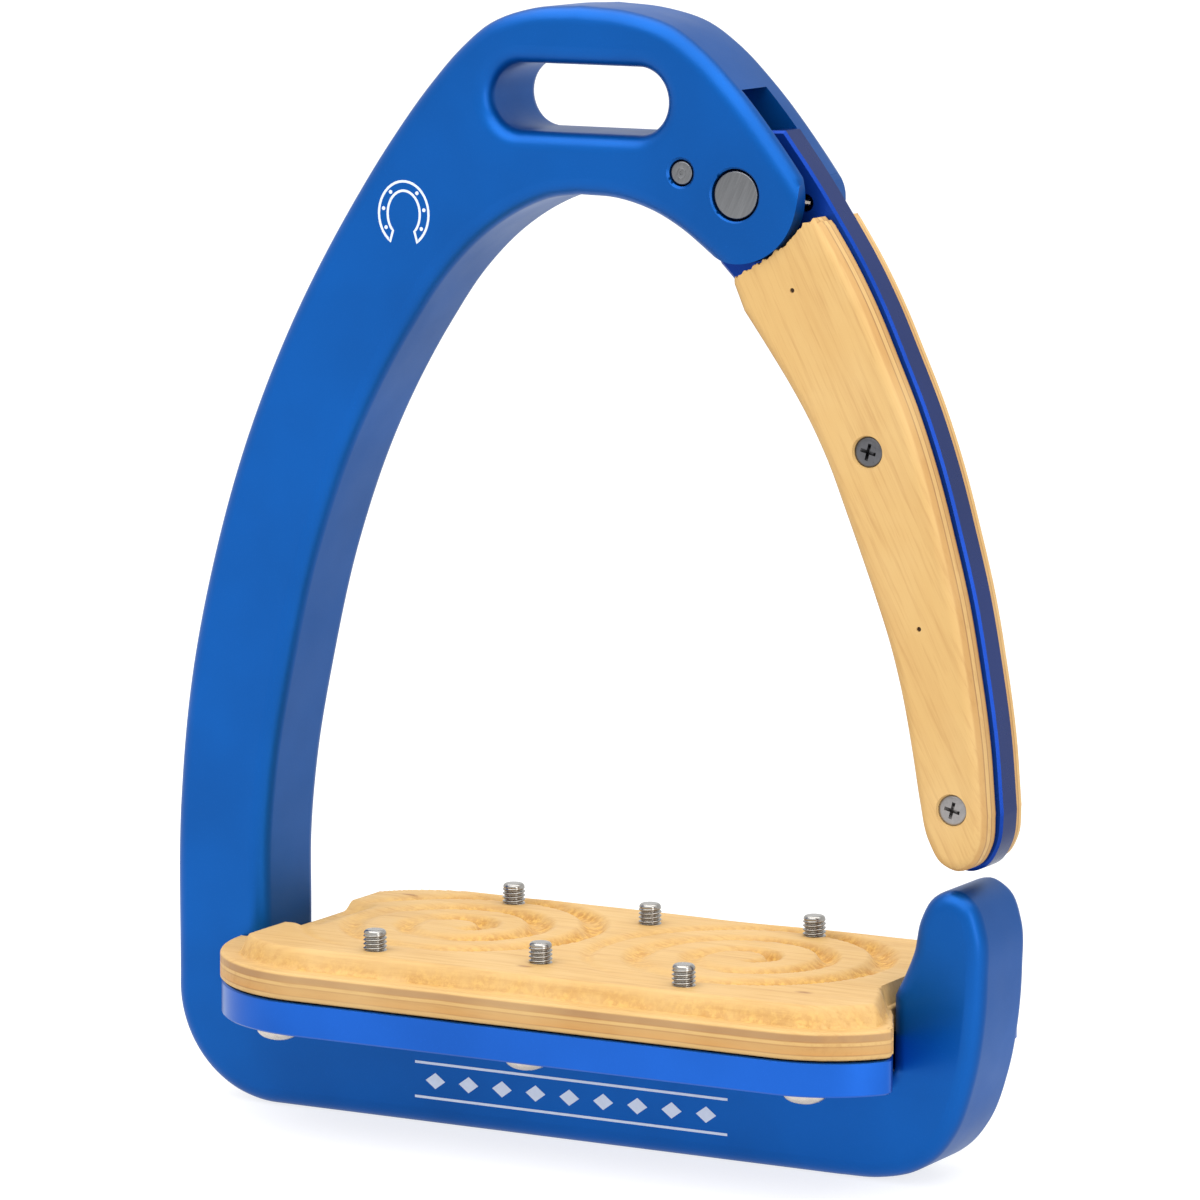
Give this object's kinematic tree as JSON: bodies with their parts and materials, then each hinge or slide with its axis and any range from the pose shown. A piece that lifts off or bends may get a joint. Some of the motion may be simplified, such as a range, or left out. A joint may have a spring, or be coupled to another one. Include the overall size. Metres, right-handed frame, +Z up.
{
  "type": "stirrup iron",
  "caption": "Safety stirrup iron: a flat arched metal frame with a spring-closed side arm, wood grips, and a wood tread on a wide foot plate with grip studs.",
  "frame": {"origin": "on the plane under the frame's base, midway along and across the stirrup", "axes": "+X towards the opening side arm (the rider's outside), +Y to the rear face of the frame, +Z up towards the leather slot"},
  "size_m": [0.1554, 0.0686, 0.1916],
  "materials": {
    "anodised_blue": "satin blue anodised",
    "anodised_arm": "satin dark blue anodised",
    "plywood": "bare sanded birch plywood",
    "steel": "bright stainless"
  },
  "bodies": {
    "frame_body": {"frame": "anodised_blue", "foot_plate": "anodised_blue", "tread": "plywood", "pivot_pin": "steel", "stop_pin": "steel", "base_screw_left": "steel", "stud_left_front": "steel", "tread_screw_left_front": "steel", "stud_left_rear": "steel", "tread_screw_left_rear": "steel", "base_screw_middle": "steel", "stud_middle_front": "steel", "tread_screw_middle_front": "steel", "stud_middle_rear": "steel", "tread_screw_middle_rear": "steel", "base_screw_right": "steel", "stud_right_front": "steel", "tread_screw_right_front": "steel", "stud_right_rear": "steel", "tread_screw_right_rear": "steel"},
    "arm_body": {"arm_plate": "anodised_arm", "front_grip": "plywood", "rear_grip": "plywood", "return_spring": "steel", "grip_screw_front_upper": "steel", "grip_screw_front_lower": "steel", "grip_screw_rear_upper": "steel", "grip_screw_rear_lower": "steel"}
  },
  "joints": [
    {"name": "arm_hinge", "type": "hinge", "parent": "frame_body", "child": "arm_body", "pos_m": [0.0299, 0, 0.1617], "axis": [0, -1, 0], "range_deg": [0, 75], "stiffness_Nm_per_rad": 0.06, "springref_deg": -85.94, "deforming": ["return_spring"]}
  ]
}
